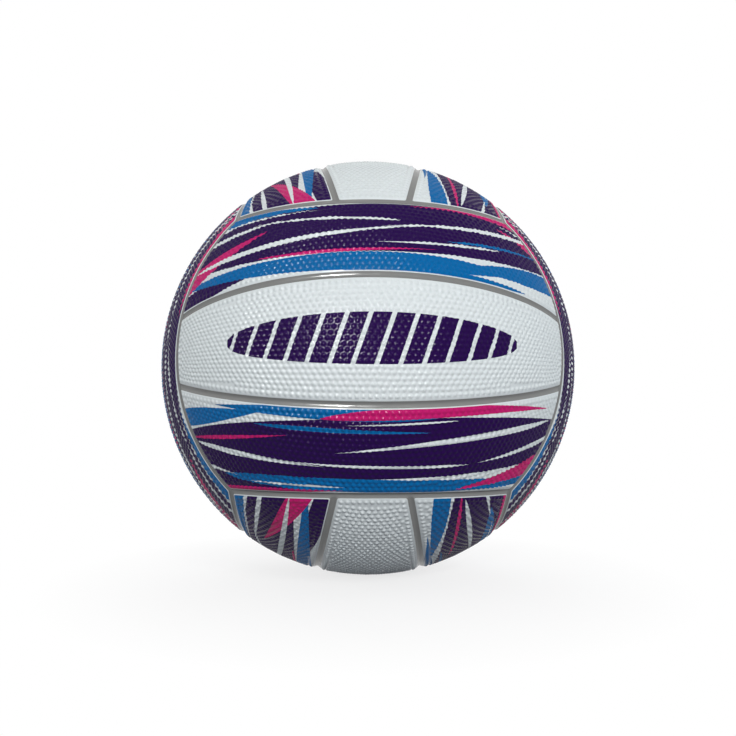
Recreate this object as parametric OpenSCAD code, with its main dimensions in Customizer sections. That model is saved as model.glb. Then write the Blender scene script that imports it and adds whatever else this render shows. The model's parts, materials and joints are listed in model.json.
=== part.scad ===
// Moulded rubber netball with eighteen panels, a seam net, three inner layers and a valve.
// The origin is the centre of the ball. +Z is up, the front faces -Y and the valve faces +Y.
// Each of the six faces has three parallel strips, and neighbouring faces turn them by a
// quarter turn: along X at the front and back, along Y on top and underneath, along Z at the
// sides.

/* [Ball] */
// Distance round the ball
ball_circumference = 700; // [690:1:710]
// Angle from the middle of a face to the seam beside its middle strip, in degrees
strip_seam_angle = 14; // [12:0.5:16]

/* [Cover] */
// Thickness of an outer panel
panel_t = 1.3; // [1.2:0.05:1.6]
// Width of a channel at the surface of the ball
channel_w = 4.2; // [3.8:0.1:5]
// Depth from the surface of the ball to the rib at the bottom of a channel
channel_depth = 0.85; // [0.7:0.05:0.95]
// Width of the rib at the bottom of a channel
rib_w = 2.3; // [2:0.1:2.8]

/* [Inner layers] */
// Thickness of the rubber carcass that the panels are bonded to
carcass_t = 0.5; // [0.4:0.05:0.8]
// Thickness of the layer of nylon thread and gum
winding_t = 0.3; // [0.2:0.05:0.5]
// Thickness of the bladder
bladder_t = 0.6; // [0.5:0.05:0.9]
// Width of the bond between two pieces that are moulded together
bond_line = 0.05; // [0.03:0.01:0.08]

/* [Valve housing] */
// Diameter of the stem that passes through the wall
stem_d = 9; // [8.5:0.1:11]
// Length of the stem
stem_length = 18; // [16:0.5:24]
// Depth of the stem's outer end below the surface of the ball
stem_recess = 0.25; // [0.15:0.05:0.4]
// Diameter of the flange inside the bladder
flange_d = 20; // [16:0.5:26]
// Thickness of the flange
flange_t = 1.2; // [0.8:0.1:2]
// Diameter of the patch between the flange and the bladder
patch_d = 36; // [30:1:50]
// Thickness of the patch
patch_t = 0.8; // [0.5:0.1:1.2]

/* [Valve core] */
// Diameter of the core's shank
core_d = 4.3; // [4:0.1:4.8]
// Length of the core below its head
core_length = 16; // [12:0.5:17]
// Diameter of the core's head
core_head_d = 6.4; // [5.8:0.1:6.8]
// Thickness of the core's head
core_head_t = 1.2; // [0.8:0.1:1.5]
// Depth of the head's outer face below the end of the stem
core_head_recess = 0.15; // [0:0.05:0.3]
// Bevel on the inner end of the shank
core_tip_bevel = 0.6; // [0.3:0.1:1]
// Gap between the shank and its bore, measured along the radius
core_bore_clearance = 0.06; // [0.03:0.01:0.09]
// Gap between the head and the sides of its seat
core_head_clearance = 0.3; // [0.3:0.05:0.5]
// Gap between the underside of the head and the bottom of its seat
core_seat_gap = 0.1; // [0.05:0.05:0.3]
// Diameter of the hole that takes the pump's needle
needle_hole_d = 2.2; // [2.1:0.05:2.5]
// Length of the round part of the needle hole
needle_hole_length = 8; // [6:0.5:10]
// Diameter of the funnel at the mouth of the needle hole
funnel_d = 3.4; // [3:0.1:4]
// Depth of the funnel
funnel_depth = 0.6; // [0.4:0.1:1]

/* [Hidden] */
$fn = 180;

// How far a cutter runs past what it cuts
overrun = 1;

ball_r = ball_circumference / (2 * PI);
// Angle at the centre between a face's middle and the circle that bounds it: three such
// circles meet in a point, as the planes of a cube's sides do at its corner
edge_polar = acos(1 / sqrt(3));
great_circle_polar = 90;
// How far along an edge plane's axis one goes for each step across the seam on the surface
edge_slope = sin(edge_polar);

// The walls of a channel are round: one circle goes through the channel's edges at the
// surface and through the edges of the rib
groove_rise = ((pow(channel_w, 2) - pow(rib_w, 2)) / 4 - pow(channel_depth, 2))
    / (2 * channel_depth);
groove_r = sqrt(pow(channel_w / 2, 2) + pow(groove_rise, 2));

// Outer radius of each layer, from the panels inwards
rib_outer_r = ball_r - channel_depth;
panel_inner_r = ball_r - panel_t;
// Distance from the centre of the planes along the middle of the ribs round a face
rib_edge_plane = rib_outer_r * cos(edge_polar);
carcass_outer_r = panel_inner_r - bond_line;
carcass_inner_r = carcass_outer_r - carcass_t;
winding_outer_r = carcass_inner_r - bond_line;
winding_inner_r = winding_outer_r - winding_t;
bladder_outer_r = winding_inner_r - bond_line;
bladder_inner_r = bladder_outer_r - bladder_t;
patch_outer_r = bladder_inner_r - bond_line;
patch_inner_r = patch_outer_r - patch_t;
flange_outer_r = patch_inner_r - bond_line;

// Places along the valve's axis, measured from the centre of the ball
stem_end = ball_r - stem_recess;
head_face = stem_end - core_head_recess;
head_underside = head_face - core_head_t;
seat = head_underside - core_seat_gap;

// Half the width of a rib, and of the space between two panels that it lies in
rib_gap = rib_w / 2;
panel_gap = rib_gap + bond_line / edge_slope;

stem_passage_d = stem_d + 2 * bond_line;
core_bore_d = core_d + 2 * core_bore_clearance;
seat_d = core_head_d + 2 * core_head_clearance;

cover_white = [0.84, 0.86, 0.87];
print_purple = [0.18, 0.06, 0.34];
rib_silver = [0.60, 0.61, 0.60];
carcass_black = [0.13, 0.13, 0.13];
thread_cream = [0.80, 0.77, 0.68];
butyl_black = [0.09, 0.09, 0.10];
valve_grey = [0.36, 0.37, 0.38];
core_white = [0.78, 0.78, 0.76];

module shell(outer_r, inner_r) {
    difference() {
        sphere(r = outer_r);
        sphere(r = inner_r);
    }
}

// Turns a shape about the axis of a seam, with its profile standing on the surface: Y points
// out of the ball and Y = 0 is the surface
module along_seam(polar) {
    rotate_extrude()
        translate([ball_r * sin(polar), ball_r * cos(polar)])
            rotate(-polar)
                children();
}

module groove() {
    translate([0, groove_rise])
        circle(r = groove_r);
}

// The grooves along the three kinds of seam round the panels of the front face
module face_end_groove() {
    rotate([90, 0, 0])
        along_seam(edge_polar)
            groove();
}

module face_side_groove() {
    along_seam(edge_polar)
        groove();
}

module strip_groove() {
    rotate([-strip_seam_angle, 0, 0])
        along_seam(great_circle_polar)
            groove();
}

// A bar along X whose section is given as points [outwards, up] on the front face
module strip_bar(points) {
    rotate([90, 0, -90])
        linear_extrude(height = 2 * (ball_r + overrun), center = true)
            polygon(points);
}

// Height on the front face, at a distance from the centre, of the line that runs a gap above
// the seam beside the middle strip
function above_seam(out, gap) = (out * sin(strip_seam_angle) + gap) / cos(strip_seam_angle);

// The space of a panel of the front face, which stays a gap away from the seams round it
module middle_space(gap) {
    near = rib_edge_plane + gap * edge_slope;
    far = ball_r + overrun;
    strip_bar([
        [near, -above_seam(near, -gap)],
        [far, -above_seam(far, -gap)],
        [far, above_seam(far, -gap)],
        [near, above_seam(near, -gap)]
    ]);
}

module outer_space(gap) {
    near = rib_edge_plane + gap * edge_slope;
    far = ball_r + overrun;
    side = rib_edge_plane - gap * edge_slope;
    strip_bar([
        [near, above_seam(near, gap)],
        [far, above_seam(far, gap)],
        [far, side],
        [near, side]
    ]);
}

module panel_blank() {
    intersection() {
        shell(ball_r, panel_inner_r);
        children();
    }
}

// Each of these cuts one groove away from a panel of the front face
module less_end_groove() {
    difference() {
        children();
        face_end_groove();
    }
}

module less_side_groove() {
    difference() {
        children();
        face_side_groove();
    }
}

module less_upper_strip_groove() {
    difference() {
        children();
        strip_groove();
    }
}

module less_lower_strip_groove() {
    difference() {
        children();
        mirror([0, 0, 1]) strip_groove();
    }
}

module middle_panel() {
    color(cover_white)
        less_upper_strip_groove()
            less_lower_strip_groove()
                less_end_groove()
                    panel_blank() middle_space(panel_gap);
}

module outer_panel() {
    color(print_purple)
        less_upper_strip_groove()
            less_side_groove()
                less_end_groove()
                    panel_blank() outer_space(panel_gap);
}

module outer_panel_mirrored() {
    mirror([0, 0, 1]) outer_panel();
}

// These put a shape of the front face on another face. What points up on the front points
// left on top and to the front on the right side
module on_back() {
    rotate([0, 0, 180]) children();
}

module on_top() {
    rotate([-90, 0, 90]) children();
}

module on_bottom() {
    rotate([0, 180, 0]) on_top() children();
}

module on_right() {
    rotate([90, 0, 0]) rotate([0, 0, 90]) children();
}

module on_left() {
    rotate([0, 0, 180]) on_right() children();
}

module front_upper_panel() { outer_panel(); }
module front_middle_panel() { middle_panel(); }
module front_lower_panel() { outer_panel_mirrored(); }
module back_upper_panel() { on_back() outer_panel(); }
module back_lower_panel() { on_back() outer_panel_mirrored(); }
module top_left_panel() { on_top() outer_panel(); }
module top_middle_panel() { on_top() middle_panel(); }
module top_right_panel() { on_top() outer_panel_mirrored(); }
module bottom_right_panel() { on_bottom() outer_panel(); }
module bottom_middle_panel() { on_bottom() middle_panel(); }
module bottom_left_panel() { on_bottom() outer_panel_mirrored(); }
module right_front_panel() { on_right() outer_panel(); }
module right_middle_panel() { on_right() middle_panel(); }
module right_back_panel() { on_right() outer_panel_mirrored(); }
module left_back_panel() { on_left() outer_panel(); }
module left_middle_panel() { on_left() middle_panel(); }
module left_front_panel() { on_left() outer_panel_mirrored(); }

module back_middle_panel() {
    color(cover_white)
        difference() {
            on_back() middle_panel();
            stem_passage();
        }
}

module face_spaces() {
    middle_space(rib_gap);
    outer_space(rib_gap);
    mirror([0, 0, 1]) outer_space(rib_gap);
}

// What is left of a shell when the spaces of all eighteen panels are cut from it, one face
// and its opposite at a time
module seam_ribs() {
    color(rib_silver)
        difference() {
            difference() {
                difference() {
                    shell(rib_outer_r, panel_inner_r);
                    face_spaces();
                    on_back() face_spaces();
                }
                on_top() face_spaces();
                on_bottom() face_spaces();
            }
            on_right() face_spaces();
            on_left() face_spaces();
        }
}

// Turns a shape that stands on Z = 0 so that it stands on the valve's axis
module on_valve_axis(distance) {
    rotate([-90, 0, 0])
        translate([0, 0, distance])
            children();
}

module stem_passage() {
    on_valve_axis(0)
        cylinder(h = ball_r + overrun, d = stem_passage_d);
}

module half_space(side) {
    translate([0, side * (ball_r + overrun + bond_line / 2), 0])
        cube(2 * (ball_r + overrun), center = true);
}

module carcass_half(side) {
    color(carcass_black)
        intersection() {
            shell(carcass_outer_r, carcass_inner_r);
            half_space(side);
        }
}

module carcass_front_half() {
    carcass_half(-1);
}

module carcass_back_half() {
    color(carcass_black)
        difference() {
            carcass_half(1);
            stem_passage();
        }
}

module nylon_winding() {
    color(thread_cream)
        difference() {
            shell(winding_outer_r, winding_inner_r);
            stem_passage();
        }
}

module bladder() {
    color(butyl_black)
        difference() {
            shell(bladder_outer_r, bladder_inner_r);
            stem_passage();
        }
}

module valve_patch() {
    color(butyl_black)
        difference() {
            intersection() {
                shell(patch_outer_r, patch_inner_r);
                on_valve_axis(0)
                    cylinder(h = ball_r, d = patch_d);
            }
            stem_passage();
        }
}

// The flange is a part of a sphere, so that it lies on the patch all over
module flange() {
    intersection() {
        shell(flange_outer_r, flange_outer_r - flange_t);
        on_valve_axis(0)
            cylinder(h = ball_r, d = flange_d);
    }
}

module valve_housing() {
    color(valve_grey)
        difference() {
            union() {
                flange();
                on_valve_axis(stem_end - stem_length)
                    cylinder(h = stem_length, d = stem_d);
            }
            on_valve_axis(stem_end - stem_length - overrun)
                cylinder(h = stem_length + 2 * overrun, d = core_bore_d);
            on_valve_axis(seat)
                cylinder(h = stem_end - seat + overrun, d = seat_d);
        }
}

module valve_core() {
    tip = head_underside - core_length;
    color(core_white)
        difference() {
            union() {
                on_valve_axis(head_underside)
                    cylinder(h = core_head_t, d = core_head_d);
                on_valve_axis(tip + core_tip_bevel)
                    cylinder(h = core_length - core_tip_bevel, d = core_d);
                on_valve_axis(tip)
                    cylinder(h = core_tip_bevel, d1 = core_d - 2 * core_tip_bevel, d2 = core_d);
            }
            on_valve_axis(head_face - funnel_depth - needle_hole_length)
                cylinder(h = needle_hole_length + funnel_depth, d = needle_hole_d);
            on_valve_axis(head_face - funnel_depth)
                cylinder(h = funnel_depth, d1 = needle_hole_d, d2 = funnel_d);
        }
}

front_upper_panel();
front_middle_panel();
front_lower_panel();
back_upper_panel();
back_middle_panel();
back_lower_panel();
top_left_panel();
top_middle_panel();
top_right_panel();
bottom_left_panel();
bottom_middle_panel();
bottom_right_panel();
left_front_panel();
left_middle_panel();
left_back_panel();
right_front_panel();
right_middle_panel();
right_back_panel();
seam_ribs();
carcass_front_half();
carcass_back_half();
nylon_winding();
bladder();
valve_patch();
valve_housing();
valve_core();
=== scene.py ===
"""Looks of a moulded rubber netball: pebbled panels, silver seams, valve, studio and camera."""
import json
import math

import bpy
import numpy as np
from mathutils import Matrix, kdtree


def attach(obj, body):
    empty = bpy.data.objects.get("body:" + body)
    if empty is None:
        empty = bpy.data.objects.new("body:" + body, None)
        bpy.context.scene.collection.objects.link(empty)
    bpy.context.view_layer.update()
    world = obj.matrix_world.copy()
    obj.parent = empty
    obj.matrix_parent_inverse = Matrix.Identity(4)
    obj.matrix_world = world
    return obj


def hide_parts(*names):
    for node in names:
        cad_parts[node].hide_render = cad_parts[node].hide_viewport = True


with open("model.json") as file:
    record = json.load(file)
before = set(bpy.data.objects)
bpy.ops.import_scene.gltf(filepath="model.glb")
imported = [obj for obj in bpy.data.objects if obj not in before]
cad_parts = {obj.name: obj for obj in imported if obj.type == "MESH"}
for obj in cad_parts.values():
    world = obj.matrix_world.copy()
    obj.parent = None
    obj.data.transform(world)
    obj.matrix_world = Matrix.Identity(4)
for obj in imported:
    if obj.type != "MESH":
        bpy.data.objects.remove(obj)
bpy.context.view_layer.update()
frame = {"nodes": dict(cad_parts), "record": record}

MM = 0.001

# The ball's circumference and the panels' thickness, as in the CAD model
CIRCUMFERENCE = 0.7
PANEL_T = 1.3 * MM
BALL_R = CIRCUMFERENCE / (2 * math.pi)
PANEL_INNER_R = BALL_R - PANEL_T

# Angles from the middle of a face to the seams beside its middle strip and to those round it
STRIP_SEAM = math.radians(14)
FACE_EDGE = math.acos(1 / math.sqrt(3))

# The end of a strip seam is found in this many rounds, from a first guess
END_ROUNDS = 40
END_GUESS = FACE_EDGE - 0.1

# From the middle of a seam to the foot of a panel
PANEL_EDGE = 1.2 * MM

# The channel is one smooth hollow. Where two meet, the blend rounds their corner
CHANNEL_HALF = 2.25 * MM
CHANNEL_DEPTH = 0.82 * MM
CORNER_BLEND = 0.3 * MM

# The pebbles' size, how flat their tops are and how round their feet
PEBBLE_R = 1.14 * MM
PEBBLE_H = 0.52 * MM
PEBBLE_FLAT = 2.5
PEBBLE_ROUND = 1.5

# How much their radii and heights vary, as shares of them, and how far they stray
RADIUS_VARIES = 0.025
HEIGHT_VARIES = 0.05
PEBBLE_STRAY = 0.06 * MM

# From pebble to pebble in a row, from row to row, and from a seam to the row that follows it and
# to the staggered rows inside that one
PEBBLE_PITCH = 2.7 * MM
PEBBLE_ROW = 2.36 * MM
PEBBLE_MARGIN = 3.4 * MM
ROWS_MARGIN = PEBBLE_MARGIN + 0.75 * PEBBLE_ROW
ROWS_EACH_WAY = 48
EDGE_SAMPLES = 400

# The least distance of an inner pebble from the row at the edge, and the room that takes one more
PEBBLE_LEAST = 1.75 * MM
PEBBLE_GAP = 1.95 * MM
GAP_SAMPLES = (260, 70)

# Pebbles nearer to each other than the first distance are pushed apart by this share of what they
# lack. Those farther apart at first than the second aren't looked at
PEBBLE_PUSH = 2.35 * MM
PUSH_REACH = 5.0 * MM
PUSH_SHARE = 0.3
PUSH_ROUNDS = 24

# The mesh of a panel: lengths along and across an outer and a middle one, steps in millimetres
# from an edge, the step beyond them, and the number of rows of points inside
OUTER_SIZE = (0.186, 0.0425)
MIDDLE_SIZE = (0.206, 0.052)
EDGE_STEPS = (0, 0.14, 0.3, 0.48, 0.68, 0.9, 1.14, 1.42, 1.74)
MESH_STEP = 0.42 * MM
INNER_ROWS = 11
SHARP_ANGLE = math.radians(35)

# The mesh of the ribs, and the share of its band of the map that a rib fills
RIB_STEP = 0.8 * MM
RIB_COLUMNS = 11
BAND_SHARE = 0.95

# Heights in the bake's map: a sheet's outside, inside and walls, and the caps of a turned solid
MAP_OUTSIDE = (0.1, 1)
MAP_INSIDE = (0, 0.08)
MAP_WALL = (0.085, 0.095)
MAP_CAP = 0.05

# The panel round the valve: the hole and its rounded lip, the cut that leaves room for rings of
# faces, where those lie between the cut and the hole, and the circle of pebbles round it
VALVE_HOLE_R = 4.55 * MM
VALVE_LIP = 0.35 * MM
VALVE_CUT = 7.5 * MM
VALVE_RINGS = (0.08, 0.16, 0.24, 0.32, 0.4, 0.48, 0.56, 0.64, 0.72, 0.8, 0.86, 0.91, 0.95, 0.98, 1)
VALVE_MARGIN = 9.6 * MM
FAR_FROM_SEAM = 10 * MM

# The low moulded ring round the valve
RING_R = 6.15 * MM
RING_HALF = 0.85 * MM
RING_H = 0.24 * MM


# The six faces. All panels are made on the front face and turned to the others

def turn(axis, degrees):
    """The turn by an angle about an axis."""
    return Matrix.Rotation(math.radians(degrees), 4, axis)


def columns(*axes):
    """The turn that takes X, Y and Z to these axes."""
    return Matrix(axes).transposed().to_4x4()


FLIP = Matrix.Diagonal((1, 1, -1, 1))
FRONT = Matrix.Identity(4)
BACK = turn("Z", 180)
TOP = columns((0, 1, 0), (0, 0, -1), (-1, 0, 0))
BOTTOM = turn("Y", 180) @ TOP
RIGHT = columns((0, 0, 1), (-1, 0, 0), (0, -1, 0))
LEFT = turn("Z", 180) @ RIGHT

# Name, turn, and names of the outer panels, the first as modelled and the second mirrored
SIDES = (
    ("front", FRONT, "upper", "lower"),
    ("back", BACK, "upper", "lower"),
    ("top", TOP, "left", "right"),
    ("bottom", BOTTOM, "right", "left"),
    ("right", RIGHT, "front", "back"),
    ("left", LEFT, "back", "front"),
)


# Places on the front face, as unit vectors

def unit(vectors):
    """The vectors, one long."""
    return vectors / np.linalg.norm(vectors, axis=-1, keepdims=True)


def strip_point(along, across):
    """Unit vectors at these angles along the strips and across them."""
    level = np.cos(along)
    return np.stack([np.sin(along), -level * np.cos(across), level * np.sin(across)], -1)


def about_y(out, place, angle):
    """Points this far out from the Y axis, at a place along it and an angle from X towards Z."""
    return np.stack(np.broadcast_arrays(out * np.cos(angle), place, out * np.sin(angle)), -1)


def seam_distances(point, outer):
    """Metres on the ball from each seam round the middle panel, or round the outer one above it."""
    ends = FACE_EDGE - np.arccos(np.clip(-point[..., 1], -1, 1))
    high, deep = point[..., 2] * math.cos(STRIP_SEAM), point[..., 1] * math.sin(STRIP_SEAM)
    above = np.arcsin(high + deep)
    if outer:
        others = [above, np.arccos(point[..., 2]) - FACE_EDGE]
    else:
        others = [-above, np.arcsin(high - deep)]
    return np.stack([ends, *others]) * BALL_R


def nearest(lengths):
    """The least of the lengths, rounded off where two are alike."""
    away = lengths / CORNER_BLEND
    least = away.min(0)
    return CORNER_BLEND * (least - np.log(np.exp(least - away).sum(0)))


def channel_drop(distance):
    """How far the surface lies below the ball at this distance from a seam."""
    share = np.clip(distance / CHANNEL_HALF, 0, 1)
    return CHANNEL_DEPTH * (0.5 + 0.5 * np.cos(math.pi * share))


def beside_seam(side, offset, along):
    """The angle across the strips of a line this angle above a strip seam, at angles along it."""
    return side * STRIP_SEAM + np.arcsin(np.sin(offset) / np.cos(along))


def seam_reach(side, offset, end_cos):
    """The angle along the strips at which a line beside a strip seam meets the face's end."""
    along = np.full_like(offset, END_GUESS)
    for _ in range(END_ROUNDS):
        along = np.arccos(end_cos / np.cos(beside_seam(side, offset, along)))
    return along


def strip_edge(side, gap, fractions):
    """A panel's edge beside a strip seam, from left to right. A gap above 0 lies above the seam."""
    offset = gap / BALL_R
    reach = seam_reach(side, offset, math.cos(FACE_EDGE - abs(offset)))
    along = (2 * fractions - 1) * reach
    return strip_point(along, beside_seam(side, offset, along))


def face_edge(gap, fractions):
    """The outer panel's upper edge, below the top face, from left to right."""
    height = math.cos(FACE_EDGE + gap / BALL_R)
    ring = math.sqrt(1 - height ** 2)
    half = math.acos(math.cos(FACE_EDGE - gap / BALL_R) / ring)
    angle = (2 * fractions - 1) * half
    return np.stack([ring * np.sin(angle), -ring * np.cos(angle), np.full_like(angle, height)], -1)


def end_edge(low, high, gap, fractions):
    """A panel's right edge, between its lower and upper right corners."""
    depth = math.cos(FACE_EDGE - gap / BALL_R)
    ring = math.sqrt(1 - depth ** 2)
    first, last = math.atan2(low[2], low[0]), math.atan2(high[2], high[0])
    return about_y(ring, -depth, first + fractions * (last - first))


def panel_edges(outer, gap, along, up):
    """A panel's lower, upper, left and right edges, this far inside its seams, at fractions."""
    lower = strip_edge(1 if outer else -1, gap, along)
    upper = face_edge(gap, along) if outer else strip_edge(1, -gap, along)
    right = end_edge(lower[-1], upper[-1], gap, up)
    return lower, upper, right * (-1, 1, 1), right


def panel_grid(outer, along, up):
    """A grid of places over a panel: a sheet spanned between its four edges."""
    lower, upper, left, right = panel_edges(outer, PANEL_EDGE, along, up)
    s, t = along[:, None, None], up[None, :, None]
    sheet = (1 - t) * lower[:, None] + t * upper[:, None] + (1 - s) * left[None] + s * right[None]
    left_corners = (1 - t) * lower[0] + t * upper[0]
    right_corners = (1 - t) * lower[-1] + t * upper[-1]
    return unit(sheet - ((1 - s) * left_corners + s * right_corners))


def graded(length):
    """Fractions of a length, with fine steps over the shoulders and even ones between."""
    edge = np.array(EDGE_STEPS) * MM
    count = round((length - 2 * edge[-1]) / MESH_STEP)
    middle = np.linspace(edge[-1], length - edge[-1], count + 1)[1:-1]
    return np.concatenate([edge, middle, length - edge[::-1]]) / length


# Pebbles

def evenly(line):
    """Places a pebble's pitch apart along a line, its first end among them and its last not."""
    steps = np.concatenate([[0], np.cumsum(np.linalg.norm(np.diff(line, axis=0), axis=1))])
    count = round(steps[-1] * BALL_R / PEBBLE_PITCH)
    at = np.arange(count) / count * steps[-1]
    return unit(np.stack([np.interp(at, steps, line[:, i]) for i in range(3)], -1))


def pebble_rim(outer):
    """The row of pebbles that follows a panel's edges."""
    fine = np.linspace(0, 1, EDGE_SAMPLES)
    lower, upper, left, right = panel_edges(outer, PEBBLE_MARGIN, fine, fine)
    return np.concatenate([evenly(line) for line in (lower, right, upper[::-1], left[::-1])])


def pebble_rows(outer, rows_across):
    """Staggered rows of pebbles over the front face, along its strips or across them."""
    span = np.arange(-ROWS_EACH_WAY, ROWS_EACH_WAY + 1)
    row, place = [axis.ravel() for axis in np.meshgrid(span, span, indexing="ij")]
    shifted = place + 0.5 * (row % 2)
    if rows_across:
        along = row * PEBBLE_ROW / BALL_R
        across = shifted * PEBBLE_PITCH / BALL_R / np.cos(along)
    else:
        along = shifted * PEBBLE_PITCH / BALL_R
        first = STRIP_SEAM + PEBBLE_MARGIN / BALL_R if outer else 0
        across = first + row * PEBBLE_ROW / BALL_R
    kept = (abs(along) < FACE_EDGE) & (abs(across) < FACE_EDGE)
    places = strip_point(along[kept], across[kept])
    return places[seam_distances(places, outer).min(0) > ROWS_MARGIN]


def distances(places, others):
    """Metres from each place to each of the others."""
    return np.linalg.norm(places[:, None] - others[None], axis=-1) * BALL_R


def place_tree(places):
    """A tree that finds the place nearest to a point."""
    tree = kdtree.KDTree(len(places))
    for index, place in enumerate(places):
        tree.insert(place, index)
    tree.balance()
    return tree


def gaps_filled(inside, rim, outer):
    """The inner pebbles, with one more in each gap that is wide enough."""
    along, up = [np.linspace(0, 1, samples) for samples in GAP_SAMPLES]
    free = panel_grid(outer, along, up).reshape(-1, 3)
    free = free[seam_distances(free, outer).min(0) > PEBBLE_MARGIN + PEBBLE_LEAST]
    tree = place_tree(np.concatenate([inside, rim]))
    room = np.array([tree.find(place)[2] for place in free]) * BALL_R
    added = []
    for index in np.argsort(-room):
        if room[index] < PEBBLE_GAP:
            break
        if all(np.linalg.norm(free[index] - other) * BALL_R > PEBBLE_GAP for other in added):
            added.append(free[index])
    return np.concatenate([inside, np.array(added).reshape(-1, 3)])


def pushed_apart(inside, rim):
    """The inner pebbles, moved until few are too close to one another or to the rim."""
    places = np.concatenate([inside, rim])
    gap = distances(places, places)
    one, other = np.nonzero((gap < PUSH_REACH) & (gap > 0))
    movable = (np.arange(len(places)) < len(inside))[:, None]
    for _ in range(PUSH_ROUNDS):
        away = places[one] - places[other]
        size = np.linalg.norm(away, axis=1)
        push = np.clip(PEBBLE_PUSH / BALL_R - size, 0, None) / size * PUSH_SHARE
        move = np.zeros_like(places)
        np.add.at(move, one, away * push[:, None])
        places = unit(places + move * movable)
    return places[:len(inside)]


def valve_circle():
    """The pebbles round the valve."""
    size = VALVE_MARGIN / BALL_R
    count = round(2 * math.pi * VALVE_MARGIN / PEBBLE_PITCH)
    angle = np.linspace(0, 2 * math.pi, count, endpoint=False)
    return unit(about_y(size, -math.cos(size), angle))


def pebble_places(outer, rows_across, valve, seed):
    """A panel's pebbles: one row that follows the edges and staggered rows inside it."""
    rim = pebble_rim(outer)
    inside = pebble_rows(outer, rows_across)
    inside = inside[distances(inside, rim).min(1) > PEBBLE_LEAST]
    inside = pushed_apart(gaps_filled(inside, rim, outer), rim)
    stray = np.random.default_rng(seed).normal(0, PEBBLE_STRAY / BALL_R, inside.shape)
    places = unit(np.concatenate([rim, inside + stray]))
    if valve:
        apart = np.hypot(places[:, 0], places[:, 2]) * BALL_R
        places = np.concatenate([places[apart > VALVE_MARGIN + PEBBLE_GAP], valve_circle()])
    return places


def pebble_heights(points, places, seed):
    """How far each point of a panel is raised by the pebble nearest to it."""
    rng = np.random.default_rng(seed)
    gap = distances(places, places)
    # A pebble's distance to itself doesn't count
    np.fill_diagonal(gap, BALL_R)
    radius = np.minimum(PEBBLE_R, 0.5 * gap.min(1))
    radius = radius * (1 + rng.normal(0, RADIUS_VARIES, len(places)))
    height = PEBBLE_H * (radius / PEBBLE_R) * (1 + rng.normal(0, HEIGHT_VARIES, len(places)))
    tree = place_tree(places)
    found = [tree.find(point)[1:] for point in points.reshape(-1, 3)]
    index, away = [np.array(column) for column in zip(*found)]
    reach = away * BALL_R / radius[index]
    raised = height[index] * np.clip(1 - reach ** PEBBLE_FLAT, 0, None) ** PEBBLE_ROUND
    return raised.reshape(points.shape[:-1])


# Meshes

class Faces:
    """Faces of one mesh, each with its corners' places in the bake's map."""

    def __init__(self):
        self.corners, self.sizes, self.places = [], [], []

    def add(self, corners, places):
        """Adds faces of one size: an array of corner numbers and one of their map places."""
        self.corners.append(np.asarray(corners).ravel())
        self.sizes.append(np.full(len(corners), np.shape(corners)[1]))
        self.places.append(np.asarray(places, float).reshape(-1, 2))

    def mesh(self, name, points):
        """The mesh of these faces."""
        sizes, corners = np.concatenate(self.sizes), np.concatenate(self.corners)
        mesh = bpy.data.meshes.new(name)
        mesh.vertices.add(len(points))
        mesh.vertices.foreach_set("co", np.asarray(points, np.float32).ravel())
        mesh.loops.add(len(corners))
        mesh.loops.foreach_set("vertex_index", corners.astype(np.int32))
        mesh.polygons.add(len(sizes))
        mesh.polygons.foreach_set("loop_start", (np.cumsum(sizes) - sizes).astype(np.int32))
        mesh.update(calc_edges=True)
        layer = mesh.uv_layers.new(name="OFBake")
        layer.uv.foreach_set("vector", np.concatenate(self.places).astype(np.float32).ravel())
        mesh.shade_smooth()
        mesh.validate()
        mesh.set_sharp_from_angle(angle=SHARP_ANGLE)
        return mesh


def quads(numbers):
    """The quads of a grid of point numbers, seen with the second axis turned left of the first."""
    corners = [numbers[:-1, :-1], numbers[1:, :-1], numbers[1:, 1:], numbers[:-1, 1:]]
    return np.stack(corners, -1).reshape(-1, 4)


def put_values(mesh, name, values):
    """Stores one number for each point of a mesh, which materials can read."""
    layer = mesh.attributes.new(name, "FLOAT", "POINT")
    layer.data.foreach_set("value", np.asarray(values, np.float32).ravel())


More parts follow.
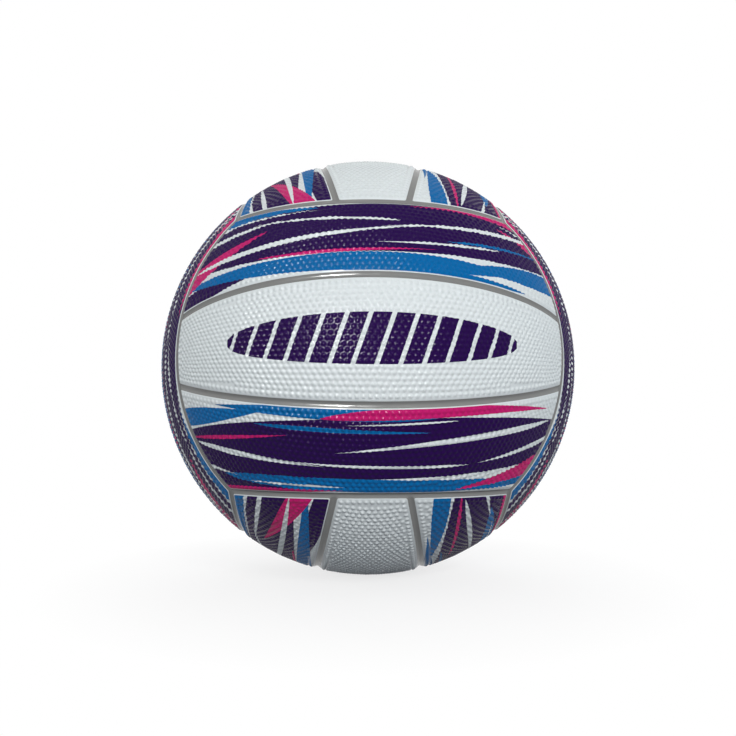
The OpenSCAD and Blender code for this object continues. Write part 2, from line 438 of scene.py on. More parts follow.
class Shell:
    """Points, faces and map places of closed sheets that lie on the ball."""

    def __init__(self):
        self.points, self.across, self.up, self.seams = [], [], [], []
        self.faces = Faces()
        self.count = 0

    def add_points(self, points, across, up, seams):
        """Adds points with their map fractions and seam distances, and gives their numbers."""
        shape = np.shape(points)[:-1]
        for store, values in ((self.across, across), (self.up, up), (self.seams, seams)):
            store.append(np.broadcast_to(values, shape).ravel())
        self.points.append(np.asarray(points).reshape(-1, 3))
        first, self.count = self.count, self.count + int(np.prod(shape))
        return np.arange(first, self.count).reshape(shape)

    def add_faces(self, corners, heights):
        """Adds faces, whose map places lie between two heights."""
        corners = np.asarray(corners)
        across, up = np.concatenate(self.across)[corners], np.concatenate(self.up)[corners]
        low, high = heights
        self.faces.add(corners, np.stack([across, low + (high - low) * up], -1))

    def add_sheet(self, point, top, picked, along, up, seam, band=(0, 1), skip=None):
        """Adds a closed sheet: a shaped outside, a plain inside with the picked rows, and walls.

        Its faces lie in this band of the map. Skip, if given, leaves faces out of both sides.
        """
        along = along[:, None]
        outside = self.add_points(top, along, up[None], seam)
        inner = point[:, picked] * PANEL_INNER_R
        inside = self.add_points(inner, along, up[None, picked], PANEL_EDGE)

        def in_band(heights):
            return [band[0] + height * (band[1] - band[0]) for height in heights]

        faces = (quads(outside), MAP_OUTSIDE), (quads(inside)[:, ::-1], MAP_INSIDE)
        for corners, heights in faces:
            kept = corners if skip is None else skip(corners)
            self.add_faces(kept, in_band(heights))
        for edge, way in ((0, 1), (-1, -1)):
            wall = quads(np.stack([outside[:, edge], inside[:, edge]], 1))
            self.add_faces(wall[:, ::-way], in_band(MAP_WALL))
            for k, (first, last) in enumerate(zip(picked[:-1], picked[1:])):
                ring = [*outside[edge, first:last + 1], inside[edge, k + 1], inside[edge, k]]
                self.add_faces([ring[::way]], in_band(MAP_WALL))

    def mesh(self, name):
        """The mesh of all sheets."""
        return self.faces.mesh(name, np.concatenate(self.points))


# The valve's hole in a panel

def cut_valve(shell):
    """A function that leaves out the faces over the valve, and a list of the rims it leaves."""
    rims = []

    def skip(corners):
        points = np.concatenate(shell.points)[corners]
        cut = np.hypot(points[..., 0], points[..., 2]).min(1) < VALVE_CUT
        edges = {(a, b) for face in corners[cut] for a, b in zip(face, np.roll(face, -1))}
        rims.append(np.array(sorted({a for a, b in edges if (b, a) not in edges})))
        return corners[~cut]

    return skip, rims


def by_angle(numbers, points):
    """Point numbers in their order round the valve, with their angles and places."""
    angle = np.arctan2(points[:, 2], points[:, 0])
    order = np.argsort(angle)
    return numbers[order], angle[order], points[order]


def between_rings(first, first_angle, second, second_angle):
    """Triangles between two rings of points, which turn the same way and start alike."""
    def after(angle, k):
        return angle[k + 1] if k + 1 < len(angle) else angle[0] + 2 * math.pi

    i = j = 0
    faces = []
    while i < len(first) or j < len(second):
        here, there = first[i % len(first)], second[j % len(second)]
        first_next = i < len(first) and after(first_angle, i) <= after(second_angle, j)
        if j >= len(second) or first_next:
            i += 1
            faces.append((here, first[i % len(first)], there))
        else:
            j += 1
            faces.append((here, second[j % len(second)], there))
    return faces


def add_valve_hole(shell, rims):
    """Rings of faces from the cut outside to the hole, down its wall, and to the cut inside."""
    every = np.concatenate(shell.points)
    ring, angle, points = by_angle(rims[0], every[rims[0]])
    across, up = np.concatenate(shell.across)[ring], np.concatenate(shell.up)[ring]
    reach = np.hypot(points[:, 0], points[:, 2])

    def ring_at(size, radius, share):
        """A ring of points this far from the valve's axis and from the centre of the ball."""
        at = about_y(size, -np.sqrt(radius ** 2 - size ** 2), angle)
        nearer = [0.5 + (place - 0.5) * share for place in (across, up)]
        return shell.add_points(at, *nearer, FAR_FROM_SEAM)

    def join(first, second, heights):
        """A ring of quads between two rings of points."""
        corners = [first, np.roll(first, -1), np.roll(second, -1), second]
        shell.add_faces(np.stack(corners, -1), heights)

    for part in VALVE_RINGS:
        size = reach + (VALVE_HOLE_R - reach) * part
        inwards = np.clip(1 - (size - VALVE_HOLE_R) / VALVE_LIP, 0, 1)
        on_ring = np.clip((size - RING_R) / RING_HALF, -1, 1)
        raised = RING_H * (0.5 + 0.5 * np.cos(math.pi * on_ring))
        lip = VALVE_LIP * (1 - np.sqrt(1 - inwards ** 2))
        made = ring_at(size, BALL_R + raised - lip, size / reach)
        join(ring, made, MAP_OUTSIDE)
        ring = made
    foot = ring_at(np.full_like(reach, VALVE_HOLE_R), PANEL_INNER_R, VALVE_HOLE_R / reach)
    join(ring, foot, MAP_WALL)
    inner, inner_angle, _ = by_angle(rims[1], every[rims[1]])
    shell.add_faces(between_rings(foot, angle, inner, inner_angle), MAP_INSIDE)


# The panels' meshes

# Height of the print on an outer panel, in millimetres
PRINT_HEIGHT = 40


def panel_mesh(name, outer, rows_across, valve, seed):
    """A panel's closed mesh: pebbled outside, rolled edges, short walls and a plain inside."""
    along, up = [graded(length) for length in (OUTER_SIZE if outer else MIDDLE_SIZE)]
    point = panel_grid(outer, along, up)
    seam = nearest(seam_distances(point, outer))
    raised = pebble_heights(point, pebble_places(outer, rows_across, valve, seed), seed)
    top = point * (BALL_R - channel_drop(seam) + raised)[..., None]
    picked = np.linspace(0, len(up) - 1, INNER_ROWS).round().astype(int)
    shell = Shell()
    skip, rims = cut_valve(shell) if valve else (None, None)
    shell.add_sheet(point, top, picked, along, up, seam, skip=skip)
    if valve:
        add_valve_hole(shell, rims)
    mesh = shell.mesh(name)
    points = np.concatenate(shell.points)
    side = points[:, 0] / np.linalg.norm(points, axis=1)
    across = np.arctan2(points[:, 2], -points[:, 1]) * BALL_R / MM
    put_values(mesh, "along", np.arcsin(side) * BALL_R / MM)
    put_values(mesh, "across", np.concatenate(shell.up) * PRINT_HEIGHT if outer else across)
    put_values(mesh, "seam", np.concatenate(shell.seams) / MM)
    return mesh


# The seam ribs' mesh

def seam_rib(side):
    """Places over the rib of one strip seam, up to the ribs at the ends of the face."""
    offset = np.linspace(-PANEL_EDGE, PANEL_EDGE, RIB_COLUMNS) / BALL_R
    reach = seam_reach(side, offset, math.cos(FACE_EDGE - PANEL_EDGE / BALL_R))
    steps = round(2 * reach[0] * BALL_R / RIB_STEP)
    along = np.linspace(-1, 1, steps)[:, None] * reach
    return strip_point(along, beside_seam(side, offset, along))


def end_rib(side):
    """Places over the rib at one end of the face, up to midway to the ribs that it meets."""
    offset = np.linspace(PANEL_EDGE, -PANEL_EDGE, RIB_COLUMNS) / BALL_R
    ring = np.sin(FACE_EDGE + offset)
    within = np.arcsin(np.cos(FACE_EDGE + abs(offset)) / ring)
    beyond = np.arccos(np.clip(np.cos(FACE_EDGE - offset) / ring, -1, 1))
    reach = np.where(offset < 0, within, beyond)
    steps = round(2 * reach[0] * ring[0] * BALL_R / RIB_STEP)
    angle = np.linspace(-1, 1, steps)[:, None] * reach
    point = about_y(ring, -np.cos(FACE_EDGE + offset), angle)
    return point if side > 0 else (point * (-1, 1, 1))[:, ::-1]


def rib_distance(point):
    """Metres from the nearest seam, for places on the front face's ribs."""
    x, y, z = abs(point[..., 0]), -point[..., 1], abs(point[..., 2])
    beyond = np.where(y < math.cos(FACE_EDGE), 1, 0)
    ends = abs(FACE_EDGE - np.arccos(y))
    strips = abs(np.arcsin(z * math.cos(STRIP_SEAM) - y * math.sin(STRIP_SEAM))) + beyond
    sides = abs(np.arccos(z) - FACE_EDGE) + beyond
    corners = abs(np.arccos(x) - FACE_EDGE) + 1 - beyond
    return nearest(np.stack([ends, strips, sides, corners]) * BALL_R)


def ribs_mesh(name):
    """The net of ribs: four on each face, the rest of whose edges are other faces' ends."""
    shell = Shell()
    ribs = [seam_rib(1), seam_rib(-1), end_rib(1), end_rib(-1)]
    turned_ribs = [(place, rib) for _, place, _, _ in SIDES for rib in ribs]
    up, picked = np.linspace(0, 1, RIB_COLUMNS), np.array([0, RIB_COLUMNS - 1])
    for number, (place, rib) in enumerate(turned_ribs):
        distance = rib_distance(rib)
        turned = rib @ np.array(place.to_3x3()).T
        top = turned * (BALL_R - channel_drop(distance))[..., None]
        along = np.linspace(0, 1, len(rib))
        band = number / len(turned_ribs), (number + BAND_SHARE) / len(turned_ribs)
        shell.add_sheet(turned, top, picked, along, up, distance, band)
    return shell.mesh(name)


# The valve's pieces, turned about the Y axis. All their sizes are in millimetres

# Radii, thicknesses and lengths, as in the CAD model
STEM_R = 4.5
STEM_LENGTH = 18
BORE_R = 2.21
SEAT_R = 3.5
FLANGE_R = 10
FLANGE_T = 1.2
HEAD_R = 3.2
HEAD_T = 1.2
SHANK_R = 2.15
SHANK_LENGTH = 16
NEEDLE_R = 1.1
NEEDLE_LENGTH = 8
FUNNEL_R = 1.7
FUNNEL_DEPTH = 0.6

# How far the stem's end lies below the ball's surface, the head's face below the stem's end, the
# seat below the head, and the flange below the ball's surface
STEM_RECESS = 0.25
HEAD_RECESS = 0.15
SEAT_GAP = 0.1
FLANGE_RECESS = 3.75

# Places along the Y axis. The flange is a part of a sphere about the ball's centre
STEM_END = BALL_R / MM - STEM_RECESS
STEM_FOOT = STEM_END - STEM_LENGTH
HEAD_FACE = STEM_END - HEAD_RECESS
HEAD_FOOT = HEAD_FACE - HEAD_T
SEAT = HEAD_FOOT - SEAT_GAP
SHANK_TIP = HEAD_FOOT - SHANK_LENGTH
FUNNEL_FOOT = HEAD_FACE - FUNNEL_DEPTH
NEEDLE_FOOT = FUNNEL_FOOT - NEEDLE_LENGTH
FLANGE_OUTER_R = BALL_R / MM - FLANGE_RECESS
FLANGE_MIDDLE = (STEM_R + FLANGE_R) / 2


def flange_corner(inwards, out, size):
    """A corner on the flange's outer face, or this far inwards from it, and its rounding."""
    return out, math.sqrt((FLANGE_OUTER_R - inwards) ** 2 - out ** 2), size


# Radius, place along Y and rounding of each corner
HOUSING = (
    (BORE_R, STEM_FOOT, 0.3),
    (STEM_R, STEM_FOOT, 0.6),
    flange_corner(FLANGE_T, STEM_R, 0.4),
    flange_corner(FLANGE_T, FLANGE_MIDDLE, 0),
    flange_corner(FLANGE_T, FLANGE_R, 0.45),
    flange_corner(0, FLANGE_R, 0.45),
    flange_corner(0, FLANGE_MIDDLE, 0),
    flange_corner(0, STEM_R, 0.4),
    (STEM_R, STEM_END, 0.4),
    (SEAT_R, STEM_END, 0.35),
    (SEAT_R, SEAT, 0.2),
    (BORE_R, SEAT, 0.25),
)
CORE = (
    (0, SHANK_TIP, 0),
    (SHANK_R, SHANK_TIP, 0.7),
    (SHANK_R, HEAD_FOOT, 0.2),
    (HEAD_R, HEAD_FOOT, 0.3),
    (HEAD_R, HEAD_FACE, 0.45),
    (FUNNEL_R, HEAD_FACE, 0.3),
    (NEEDLE_R, FUNNEL_FOOT, 0.3),
    (NEEDLE_R, NEEDLE_FOOT, 0.2),
    (0, NEEDLE_FOOT, 0),
)

# Points on a rounded corner, the longest step between two points, and the faces in a full turn
ROUND_STEPS = 6
LONGEST_STEP = 0.9
TURNED_SIDES = 72


def rounded(corners, closed):
    """A profile's points in metres, with its corners rounded and its long edges divided."""
    corners = np.array(corners)
    points = []
    for i, (radius, place, size) in enumerate(corners):
        corner = np.array((radius, place))
        if size == 0:
            points.append(corner)
            continue
        before = corners[i - 1, :2] - corner
        after = corners[(i + 1) % len(corners), :2] - corner
        first = corner + before / np.linalg.norm(before) * size
        last = corner + after / np.linalg.norm(after) * size
        for t in np.linspace(0, 1, ROUND_STEPS):
            points.append((1 - t) ** 2 * first + 2 * t * (1 - t) * corner + t ** 2 * last)
    ends = points[1:] + points[:1] if closed else points[1:]
    divided = []
    for start, end in zip(points, ends):
        count = max(1, math.ceil(np.linalg.norm(end - start) / LONGEST_STEP))
        divided += [start + (end - start) * k / count for k in range(count)]
    return np.array(divided if closed else [*divided, points[-1]]) * MM


def pole_cap(pole, ring, low, high, way):
    """Triangles between a pole and the ring of points next to it, and their map places."""
    share = np.linspace(0, 1, TURNED_SIDES + 1)
    corners = [np.full(TURNED_SIDES, pole), ring[:-1], ring[1:]]
    spots = [(share[:-1], low), (share[:-1], high), (share[1:], high)]
    places = [np.stack([across, np.full(TURNED_SIDES, up)], -1) for across, up in spots]
    return np.stack(corners, -1)[:, ::way], np.stack(places, 1)[:, ::way]


def turned_mesh(name, corners, closed):
    """A profile turned about the Y axis: a ring if closed, or a solid with its ends on the axis."""
    profile = rounded(corners, closed)
    body = profile if closed else profile[1:-1]
    angle = np.linspace(0, 2 * math.pi, TURNED_SIDES, endpoint=False)
    points = about_y(body[:, :1], body[:, 1:], angle).reshape(-1, 3)
    number = np.arange(len(points)).reshape(len(body), TURNED_SIDES)
    number = np.concatenate([number, number[:, :1]], 1)
    lines = np.concatenate([number, number[:1]]) if closed else number
    across, up = np.linspace(0, 1, TURNED_SIDES + 1), np.linspace(MAP_CAP, 1 - MAP_CAP, len(lines))
    up, across = np.meshgrid(up, across, indexing="ij")
    spots = np.stack([across, up], -1).reshape(-1, 2)
    faces = Faces()
    faces.add(quads(lines), spots[quads(np.arange(up.size).reshape(up.shape))])
    if not closed:
        for end, low, high, way in ((0, 0, MAP_CAP, 1), (-1, 1, 1 - MAP_CAP, -1)):
            points = np.concatenate([points, [[0, profile[end, 1], 0]]])
            faces.add(*pole_cap(len(points) - 1, number[end], low, high, way))
    return faces.mesh(name, points)


# Materials

# Colours, linear
WHITE = (0.715, 0.765, 0.775)
PURPLE = (0.017, 0.0008, 0.062)
BLUE = (0.0008, 0.13, 0.37)
PINK = (0.54, 0.012, 0.15)
SILVER = (0.235, 0.238, 0.232)

# How metallic the silver paint is, and how strongly the cover and plain rubber reflect
SILVER_METAL = 0.18
COVER_SPECULAR = 0.065
PLAIN_SPECULAR = 0.4

# Most of a noise's values lie between these. Clouds have a finer noise
NOISE_SPREAD = (0.3, 0.7)
CLOUD_DETAIL = 3

# The mix node's output for colours. Its outputs all have the same name
MIXED_COLOUR = 2

# The cover: the share of white in its darker clouds, its roughness, the depth of its grain, and
# waves to a metre
WHITE_DARKER = 0.965
COVER_ROUGHNESS = (0.17, 0.25)
COVER_GRAIN = 0.03 * MM
COVER_GRAIN_STRENGTH = 0.5
CLOUD_WAVES = 28
ROUGHNESS_WAVES = 900
GRAIN_WAVES = 2600

# Plain looks: how much finer the waves of the roughness are than the clouds, and how far it goes
# below and above the look's own roughness
PLAIN_FINER = 4
PLAIN_SMOOTHER = 0.05
PLAIN_ROUGHER = 0.07
PLAIN_GRAIN_STRENGTH = 0.6

# Millimetres from a seam between which the silver paint ends and the print begins, and the width
# of the print's soft edges
PAINT_ENDS = (1.5, 1.42)
PRINT_BEGINS = (1.85, 1.93)
PRINT_BLUR = 0.08

# How blunt the ends of a ribbon and of the lens of bars are: 1 is a parabola, less is blunter
RIBBON_TAPER = 0.7
LENS_TAPER = 0.4


class Nodes:
    """A tree of shader nodes, built by short calls."""

    def __init__(self, tree):
        self.tree = tree

    def node(self, kind, inputs=(), output=0, **settings):
        """Adds a node, sets or links its first inputs, skips None, and gives an output."""
        made = self.tree.nodes.new("ShaderNode" + kind)
        for key, value in settings.items():
            setattr(made, key, value)
        for socket, value in zip(made.inputs, inputs):
            self.feed(socket, value)
        return made.outputs[output]

    def feed(self, socket, value):
        """Links an output to a socket, or sets the socket to a value."""
        if isinstance(value, bpy.types.NodeSocket):
            self.tree.links.new(value, socket)
        elif value is not None:
            socket.default_value = value

    def math(self, operation, *values):
        """The result of a math node."""
        return self.node("Math", values, operation=operation)

    def seen_rays(self):
        """1 for rays from the camera, from reflections and through glass."""
        camera, glossy, through = [
            self.node("LightPath", output=f"Is {kind} Ray")
            for kind in ("Camera", "Glossy", "Transmission")]
        return self.math("MAXIMUM", self.math("MAXIMUM", camera, glossy), through)


class Look(Nodes):
    """A node material, built by short calls."""

    def __init__(self, name, **values):
        self.material = bpy.data.materials.new(name)
        self.material.use_nodes = True
        super().__init__(self.material.node_tree)
        self.surface = self.tree.nodes["Principled BSDF"]
        for socket, value in values.items():
            self.surface.inputs[socket.replace("_", " ")].default_value = value

    def set(self, socket, value):
        """Links or sets an input of the surface."""
        self.feed(self.surface.inputs[socket], value)

    def value(self, name):
        """A number stored on the mesh."""
        return self.node("Attribute", output="Fac", attribute_name=name)

    def mix(self, factor, first, second):
        """Two colours, mixed. Inputs for other kinds lie between the factor and the colours."""
        colours = [(*value, 1) if isinstance(value, tuple) else value for value in (first, second)]
        inputs = (factor, None, None, None, None, None, *colours)
        return self.node("Mix", inputs, output=MIXED_COLOUR, data_type="RGBA")

    def step(self, value, low, high):
        """0 up to the first limit and 1 from the second on, even between. Either may be higher."""
        return self.node("MapRange", (value, low, high, 0.0, 1.0), interpolation_type="LINEAR")

    def noise(self, waves, detail=2):
        """Noise over the object, with this many waves to a metre."""
        place = self.node("TexCoord", output="Object")
        return self.node("TexNoise", (place, None, waves, detail))

    def vary_roughness(self, waves, least, most):
        """Makes the roughness vary between two limits."""
        varied = self.node("MapRange", (self.noise(waves), *NOISE_SPREAD, least, most))
        self.set("Roughness", varied)

    def grain(self, waves, depth, strength):
        """Adds fine bumps of this depth in metres."""
        self.set("Normal", self.node("Bump", (strength, depth, None, self.noise(waves))))


def darker(share, colour):
    """A share of a colour."""
    return tuple(share * part for part in colour)


def lens(look, place, taper):
    """How wide a lens is: 0 at the places -1 and 1, and 1 in the middle."""
    square = look.math("MULTIPLY", place, place)
    left = look.math("MAXIMUM", look.math("SUBTRACT", 1.0, square), 0.0)
    return look.math("POWER", left, taper)


def ribbon(look, along, across, middle, half, height, rise, bend, width, skew):
    """1 inside a ribbon that tapers to both ends, and 0 outside it. Lengths are in millimetres."""
    place = look.math("DIVIDE", look.math("SUBTRACT", along, middle), half)
    square = look.math("MULTIPLY", place, place)
    bent = look.math("MULTIPLY_ADD", square, bend, height)
    line = look.math("MULTIPLY_ADD", place, rise, bent)
    skewed = look.math("MULTIPLY_ADD", place, skew * width, width)
    wide = look.math("MULTIPLY", lens(look, place, RIBBON_TAPER), skewed)
    away = look.math("ABSOLUTE", look.math("SUBTRACT", across, line))
    return look.step(look.math("SUBTRACT", wide, away), 0.0, PRINT_BLUR)


def bars(look, along, across, half, height, pitch, gap, lean):
    """1 on slanted bars that fill a lens, and 0 beside them. Lengths are in millimetres."""
    width = lens(look, look.math("DIVIDE", along, half), LENS_TAPER)
    away = look.math("MULTIPLY", look.math("ABSOLUTE", across), -1.0)
    inside = look.math("MULTIPLY_ADD", width, height, away)
    leaning = look.math("MULTIPLY_ADD", across, -lean, along)
    to_middle = look.math("ABSOLUTE", look.math("WRAP", leaning, 0.5 * pitch, -0.5 * pitch))
    bar = look.math("SUBTRACT", 0.5 * (pitch - gap), to_middle)
    steps = look.step(inside, 0.0, PRINT_BLUR), look.step(bar, 0.0, PRINT_BLUR)
    return look.math("MULTIPLY", *steps)


def cover_look(name, ribbons=(), row_of_bars=None):
    """Pebbled rubber, white or printed, with silver paint at the foot of its edges."""
    look = Look(name, IOR=1.5, Specular_IOR_Level=COVER_SPECULAR)
    along, across, seam = look.value("along"), look.value("across"), look.value("seam")
    clouds = look.noise(CLOUD_WAVES, CLOUD_DETAIL)
    colour = look.mix(clouds, darker(WHITE_DARKER, WHITE), WHITE)
    if row_of_bars:
        colour = look.mix(bars(look, along, across, *row_of_bars), colour, PURPLE)
    for ink, *shape in ribbons:
        colour = look.mix(ribbon(look, along, across, *shape), colour, ink)
    if ribbons:
        colour = look.mix(look.step(seam, *PRINT_BEGINS), WHITE, colour)
    paint = look.step(seam, *PAINT_ENDS)
    look.set("Base Color", look.mix(paint, colour, SILVER))
    look.set("Metallic", look.math("MULTIPLY", paint, SILVER_METAL))
    look.vary_roughness(ROUGHNESS_WAVES, *COVER_ROUGHNESS)
    look.grain(GRAIN_WAVES, COVER_GRAIN, COVER_GRAIN_STRENGTH)
    return look.material


def plain_look(
        name, colour, shade, rough, waves, grain_waves, grain_mm,
        metallic=0.0, specular=PLAIN_SPECULAR):
    """A rubber or thread of one colour, down to this shade of it in clouds, with a fine grain."""
    look = Look(name, Metallic=metallic, Specular_IOR_Level=specular)
    clouds = look.noise(waves, CLOUD_DETAIL)
    look.set("Base Color", look.mix(clouds, darker(shade, colour), colour))
    look.vary_roughness(PLAIN_FINER * waves, rough - PLAIN_SMOOTHER, rough + PLAIN_ROUGHER)
    look.grain(grain_waves, grain_mm * MM, PLAIN_GRAIN_STRENGTH)
    return look.material


def rib_look():
    """The silver paint of the ribs."""
    return plain_look(
        "silver_rib", SILVER, shade=0.92, rough=0.2, waves=60, grain_waves=2600, grain_mm=0.015,
        metallic=SILVER_METAL, specular=COVER_SPECULAR)


def carcass_look():
    """Matt black rubber."""
    return plain_look(
        "carcass", (0.02, 0.02, 0.02), shade=0.8, rough=0.7, waves=40, grain_waves=900,
        grain_mm=0.03)


def winding_look():
    """Pale thread in gum."""
    return plain_look(
        "winding", (0.5, 0.46, 0.36), shade=0.7, rough=0.6, waves=200, grain_waves=1800,
        grain_mm=0.05)


def butyl_look():
    """Smooth black rubber of the bladder and its patch."""
    return plain_look(
        "butyl", (0.012, 0.012, 0.013), shade=0.8, rough=0.5, waves=50, grain_waves=900,
        grain_mm=0.02)


def valve_look():
    """Dark grey rubber of the valve's housing."""
    return plain_look(
        "valve", (0.045, 0.047, 0.05), shade=0.85, rough=0.45, waves=80, grain_waves=1500,
        grain_mm=0.02)


def core_look():
    """Light grey rubber of the valve's core."""
    return plain_look(
        "core", (0.32, 0.32, 0.31), shade=0.85, rough=0.45, waves=80, grain_waves=1500,
        grain_mm=0.02)


# The prints

# Two layouts of ribbons. Each has its colour, middle and half length along the strip, height, rise
# to the right end, bend at both ends and half width in millimetres, and the share by which it is
# wider to the right
FIRST_PRINT = (
    (PURPLE, -4, 122, 24, 2, -3, 15.0, 0.1),
    (PURPLE, 56, 62, 35, -2, 0, 5.0, 0.3),
    (PURPLE, -76, 40, 4, 3, 1, 3.4, -0.4),
    (BLUE, -22, 84, 5, -1.5, 2.5, 3.9, 0.4),
    (BLUE, 76, 42, 9, 4, 0, 3.8, 0.5),
    (BLUE, -62, 38, 37.5, 1, -2, 2.8, -0.4),
    (BLUE, 30, 44, 0.8, 0.5, 0, 2.0, -0.5),
    (PINK, -84, 36, 14, 10, 1, 3.6, -0.6),
    (PINK, 56, 40, 38.2, -2, -3, 1.8, 0.5),
    (PINK, 88, 28, 24, -8, 0, 2.2, 0.6),
    (PINK, -12, 40, 9.8, 0.5, 1.5, 0.7, -0.5),
    (WHITE, -34, 60, 17.5, 5, 2, 1.2, -0.5),
    (WHITE, 48, 44, 26.5, 4, 0, 1.1, 0.5),
    (WHITE, -22, 34, 28.5, -2, 0, 0.8, 0.4),
    (WHITE, -66, 26, 28, 2.5, 0, 1.0, -0.5),
    (WHITE, 30, 30, 14.8, 2, 1, 0.6, 0.5),
    (WHITE, 82, 20, 31.5, -3, 0, 0.8, 0.5),
    (WHITE, -48, 24, 34.5, 0.4, 0, 0.5, -0.4),
    (BLUE, 62, 30, 19.5, 3, 0, 0.7, -0.4),
)
SECOND_PRINT = (
    (PURPLE, 6, 120, 17.5, -2, 3, 13.6, -0.1),
    (PURPLE, -58, 56, 33, 3, 0, 5.2, -0.4),
    (PURPLE, 80, 34, 34, -2, 0, 3.2, 0.4),
    (BLUE, 18, 88, 35.5, 1, -3, 3.8, -0.4),
    (BLUE, -82, 34, 8, -5, 0, 3.4, -0.5),
    (BLUE, -22, 52, 2.2, 0.5, 1, 2.6, 0.5),
    (PINK, 78, 42, 29, -9, 0, 3.6, 0.6),
    (PINK, 34, 56, 2.0, 0.5, 3, 2.2, -0.5),
    (PINK, -52, 40, 39, -1, 0, 1.8, -0.5),
    (PINK, -64, 28, 14.6, -3, 0, 0.8, -0.4),
    (WHITE, 38, 54, 13.5, -4, 1, 1.2, 0.5),
    (WHITE, -54, 34, 22, 3, 0, 1.1, -0.5),
    (WHITE, 2, 40, 24.8, 1, -1, 0.7, 0.4),
    (BLUE, -14, 38, 9.0, 1, 0, 0.9, -0.4),
    (WHITE, 72, 26, 20.5, -4, 0, 0.9, 0.5),
    (WHITE, -34, 22, 35.0, 1, 0, 0.6, 0.3),
    (WHITE, -82, 20, 28.6, 3, 0, 0.8, -0.5),
    (WHITE, 12, 24, 6.3, -0.6, 0, 0.4, 0.4),
)

# The row of plain slanted bars on the front, in millimetres: half length and half height of the
# lens that they fill, from bar to bar, the gap between two, and how far one leans for each one up
BARS = (66, 10.8, 9.6, 1.9, 0.35)


# The pieces

# Seeds of the pebbles' strays and sizes
PANEL_SEED = 3
VALVE_PANEL_SEED = 9


def frame_slot(node):
    """The record's material slot of a CAD node."""
    return next(p["material_slot"] for p in frame["record"]["subparts"] if p["node"] == node)


def add_object(name, data):
    """A new object in the scene."""
    made = bpy.data.objects.new(name, data)
    bpy.context.scene.collection.objects.link(made)
    return made


def put_piece(name, mesh, material, body, *nodes):
    """Shows a mesh on a body, in place of the CAD nodes that it stands for."""
    mesh.materials.clear()
    mesh.materials.append(material)
    piece = add_object(name, mesh)
    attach(piece, body)
    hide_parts(*nodes)


def put_panel(name, shape, place, flipped, material):
    """Puts a copy of a panel's mesh in its place."""
    mesh = shape.copy()
    mesh.transform(place @ FLIP if flipped else place)
    if flipped:
        mesh.flip_normals()
    put_piece(name + "_cover", mesh, material, "ball", name + "_panel")


def panel_shapes():
    """Meshes of the middle and the outer panel, with pebbles along and across the strips."""
    return {
        (outer, across): panel_mesh(
            f"shape_{outer}_{across}", outer, across, False, PANEL_SEED + outer + 2 * across)
        for outer in (False, True) for across in (False, True)
    }


def put_panels():
    """Puts the eighteen panels in their places."""
    shapes = panel_shapes()
    with_valve = panel_mesh("shape_valve", False, False, True, VALVE_PANEL_SEED)
    white = cover_look("white_rubber")
    marked = cover_look("marked_white_rubber", row_of_bars=BARS)
    prints = enumerate((FIRST_PRINT, SECOND_PRINT))
    printed = [cover_look(f"printed_rubber_{i}", ribbons) for i, ribbons in prints]
    for number, (side, place, first, second) in enumerate(SIDES):
        across = side in ("top", "bottom")
        middle = with_valve if side == "back" else shapes[False, across]
        outer = shapes[True, across]
        put_panel(side + "_middle", middle, place, False, marked if side == "front" else white)
        put_panel(f"{side}_{first}", outer, place, False, printed[number % 2])
        put_panel(f"{side}_{second}", outer, place, True, printed[(number + 1) % 2])


def put_ribs():
    """Puts the net of silver ribs in its place."""
    put_piece("silver_ribs", ribs_mesh("silver_ribs"), rib_look(), "ball", "seam_ribs")


def put_housing():
    """Puts the valve's housing in its place."""
    mesh = turned_mesh("housing", HOUSING, True)
    put_piece("valve_stem", mesh, valve_look(), "ball", "valve_housing")


def put_core():
    """Puts the valve's core in its place."""
    mesh = turned_mesh("core", CORE, False)
    put_piece("valve_plug", mesh, core_look(), "valve_core", "valve_core")


def dress_layers():
    """Gives materials to the inner layers, which keep the CAD nodes' shapes."""
    looks = {
        "carcass_rubber": carcass_look(),
        "nylon_thread": winding_look(),
        "butyl_rubber": butyl_look(),
    }
    for name, node in frame["nodes"].items():
        slot = frame_slot(name)
        if slot in looks:
            node.data.materials.clear()
            node.data.materials.append(looks[slot])


# The studio

# The camera, fitted to the photo's outline and seams: metres, degrees, and millimetres for the lens
CAMERA_PLACE = (-0.00821, -0.37539, -0.04145)
CAMERA_TURN = (96.29951, -0.09585, -1.26415)
CAMERA_LENS = 32.59
CAMERA_SENSOR = 36
CAMERA_NEAR = 0.01

# The lamps' distance from the ball's centre, and the colour of the cool one
LAMP_FAR = 1.8
COOL = (0.8, 0.97, 1.25)

# The lamp for the sparkles: how far it is turned and raised, how far it is moved to the right and
# up in metres, watts, its cone and its radius
GLINT_AZIMUTH = -17
GLINT_HEIGHT = 14
GLINT_RIGHT = 0.014
GLINT_UP = -0.017
GLINT_WATTS = 1100
GLINT_CONE = math.radians(6.6)
GLINT_R = 0.12

# The light from all round
WORLD_LIGHT = 0.06

# The floor's size, its colour for seen rays, and for the light that it throws back on the ball
FLOOR_HALF = 8
FLOOR_WHITE = (0.97, 0.97, 0.97)
FLOOR_BOUNCE = (0.08, 0.095, 0.125)

# Between these distances from the ball's centre, the floor turns into a backdrop by these shares
FADE_DISTANCES = (0.06, 0.2)
FADE_SHARES = (0.6, 1.0)


def put_camera():
    """Puts the camera where the photo was taken from."""
    data = bpy.data.cameras.new("camera")
    data.lens = CAMERA_LENS
    data.sensor_width = CAMERA_SENSOR
    data.clip_start = CAMERA_NEAR
    camera = add_object("camera", data)
    camera.location = CAMERA_PLACE
    camera.rotation_euler = [math.radians(angle) for angle in CAMERA_TURN]
    bpy.context.scene.camera = camera


def put_light(data, azimuth, height, right=0, up=0):
    """Makes a lamp that faces the ball, turned from the front and raised by these degrees."""
    lamp = add_object(data.name, data)
    to_lamp = Matrix.Translation((right, up, LAMP_FAR))
    lamp.matrix_world = turn("Z", azimuth) @ turn("X", 90 - height) @ to_lamp
    return lamp


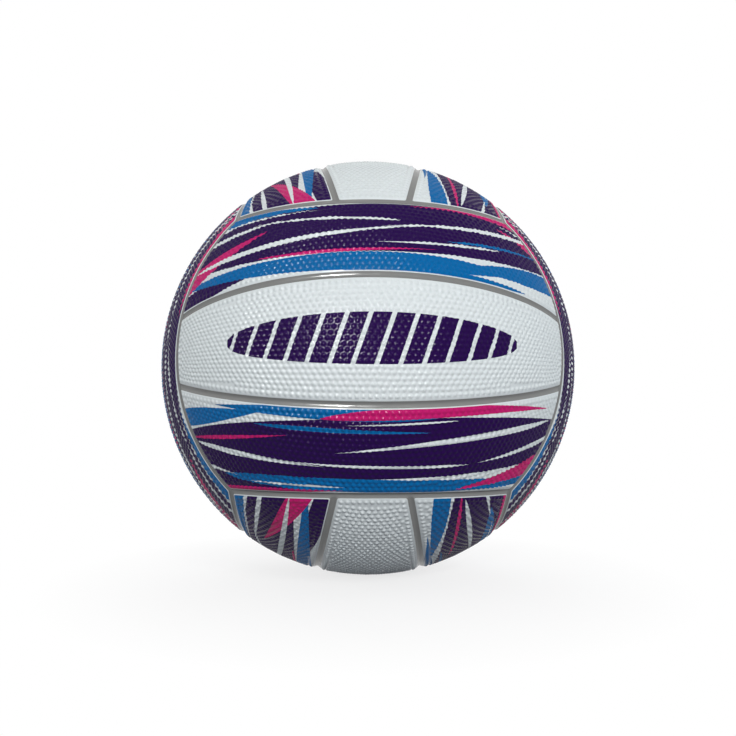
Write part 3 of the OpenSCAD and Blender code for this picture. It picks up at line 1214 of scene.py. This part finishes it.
def put_lamp(name, azimuth, height, size, watts, colour=(1, 1, 1)):
    """A soft square lamp, left out of reflections."""
    data = bpy.data.lights.new(name, "AREA")
    data.size = size
    data.energy = watts
    data.color = colour
    put_light(data, azimuth, height).visible_glossy = False


def put_glint():
    """A narrow lamp that shows only as sparkles on the pebbles in the middle of the front."""
    data = bpy.data.lights.new("glint", "SPOT")
    data.energy = GLINT_WATTS
    data.spot_size = GLINT_CONE
    data.spot_blend = 1
    data.shadow_soft_size = GLINT_R
    glint = put_light(data, GLINT_AZIMUTH, GLINT_HEIGHT, GLINT_RIGHT, GLINT_UP)
    glint.visible_diffuse = False


def put_lamps():
    """The lamps: turned and raised by these degrees, size in metres, and watts."""
    put_lamp("key", 20, 20, 0.5, 17.5)
    put_lamp("front", -15, 13, 0.14, 12)
    put_glint()
    put_lamp("left", -100, 3, 1.0, 8)
    put_lamp("right", 108, 6, 1.0, 4.2, COOL)
    put_lamp("back_right", 140, 12, 1.0, 13)
    put_lamp("back_left", -140, 12, 1.0, 13)
    put_lamp("back", 180, 34, 1.0, 8)


def put_world():
    """Soft light from all round. The camera and reflections see white."""
    world = bpy.data.worlds.new("studio")
    world.use_nodes = True
    world_nodes = Nodes(world.node_tree)
    light = world_nodes.tree.nodes["Background"]
    light.inputs["Color"].default_value = (1, 1, 1, 1)
    light.inputs["Strength"].default_value = WORLD_LIGHT
    seen = world_nodes.node("Background", ((1, 1, 1, 1), 1))
    whole = world_nodes.node("MixShader", (world_nodes.seen_rays(), light.outputs[0], seen))
    world_nodes.feed(world_nodes.tree.nodes["World Output"].inputs["Surface"], whole)
    bpy.context.scene.world = world


def floor_look():
    """White that keeps a shadow, turns into the backdrop far off and is clear from below."""
    look = Look("floor")
    look.tree.nodes.remove(look.surface)
    seen = look.seen_rays()
    matt = look.node("BsdfDiffuse", [look.mix(seen, FLOOR_BOUNCE, FLOOR_WHITE)])
    glow = look.node("Emission")
    place = look.node("NewGeometry")
    away = look.node("VectorMath", [place], output="Value", operation="LENGTH")
    share = look.node("MapRange", (away, *FADE_DISTANCES, *FADE_SHARES))
    from_above = look.node("MixShader", (look.math("MULTIPLY", seen, share), matt, glow))
    below = look.node("NewGeometry", output="Backfacing")
    whole = look.node("MixShader", (below, from_above, look.node("BsdfTransparent")))
    look.feed(look.tree.nodes["Material Output"].inputs["Surface"], whole)
    return look.material


def put_floor():
    """A floor that touches the lowest pebbles."""
    mesh = bpy.data.meshes.new("floor")
    corners = [(x * FLOOR_HALF, y * FLOOR_HALF, 0) for x, y in ((-1, -1), (1, -1), (1, 1), (-1, 1))]
    mesh.from_pydata(corners, [], [(0, 1, 2, 3)])
    mesh.materials.append(floor_look())
    floor = add_object("floor", mesh)
    floor.location = (0, 0, -BALL_R - PEBBLE_H)


def main():
    """Dresses the part and sets up the studio round it."""
    bpy.context.scene.view_settings.view_transform = "Standard"
    put_camera()
    put_panels()
    put_ribs()
    put_housing()
    put_core()
    dress_layers()
    put_world()
    put_floor()
    put_lamps()


main()
